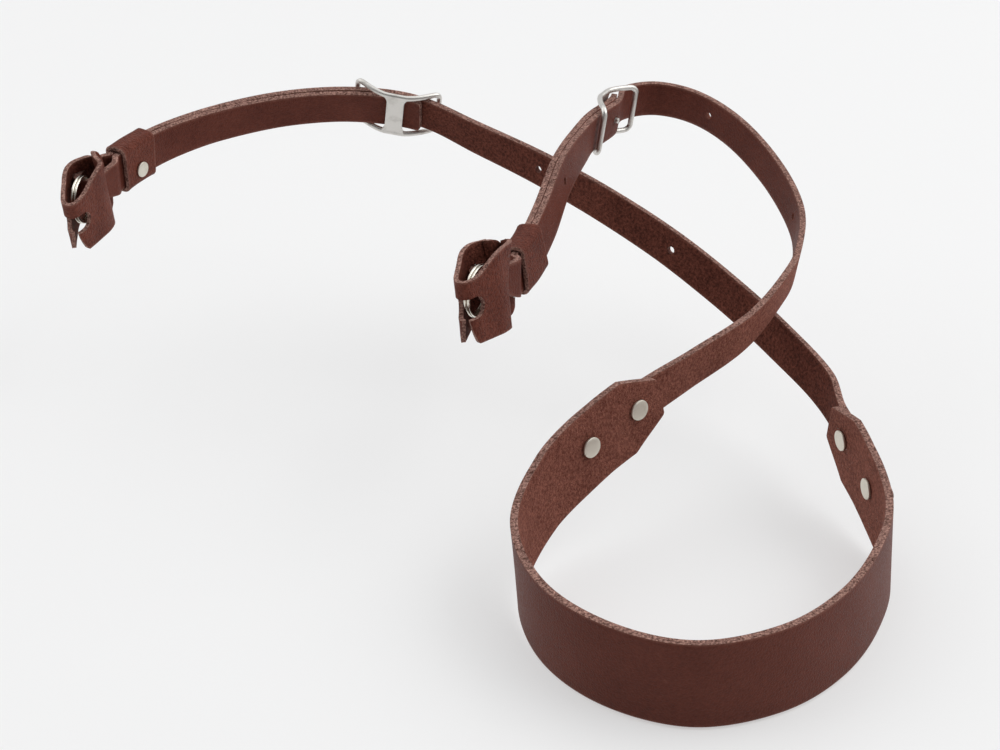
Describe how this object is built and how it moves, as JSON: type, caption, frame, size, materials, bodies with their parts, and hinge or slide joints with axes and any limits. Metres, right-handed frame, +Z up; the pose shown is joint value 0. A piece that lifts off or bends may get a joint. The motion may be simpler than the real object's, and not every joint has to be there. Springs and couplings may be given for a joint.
{
  "type": "camera neck strap",
  "caption": "Worn brown leather camera neck strap: wide shoulder pad, two narrow straps with bowed slider buckles, leather keepers and ring guards round split rings.",
  "frame": {"origin": "midway between the two eyelets that the split rings hang on", "axes": "+Z up, square to the surface that the shoulder pad stands on; +Y from the pad towards the straps' far bends; +X from the left end towards the pad"},
  "size_m": [0.2507, 0.2589, 0.0892],
  "materials": {
    "leather": "satin",
    "nickel": "satin"
  },
  "bodies": {
    "root": {"shoulder_pad": "leather", "strap_left": "leather", "strap_right": "leather", "keeper_left": "leather", "keeper_right": "leather", "ring_guard_left": "leather", "ring_guard_right": "leather", "buckle_left": "nickel", "buckle_right": "nickel", "split_ring_left": "nickel", "split_ring_right": "nickel", "pad_rivet_left_outer": "nickel", "pad_rivet_left_inner": "nickel", "pad_rivet_right_outer": "nickel", "pad_rivet_right_inner": "nickel", "keeper_rivet_left": "nickel", "keeper_rivet_right": "nickel"}
  },
  "joints": []
}
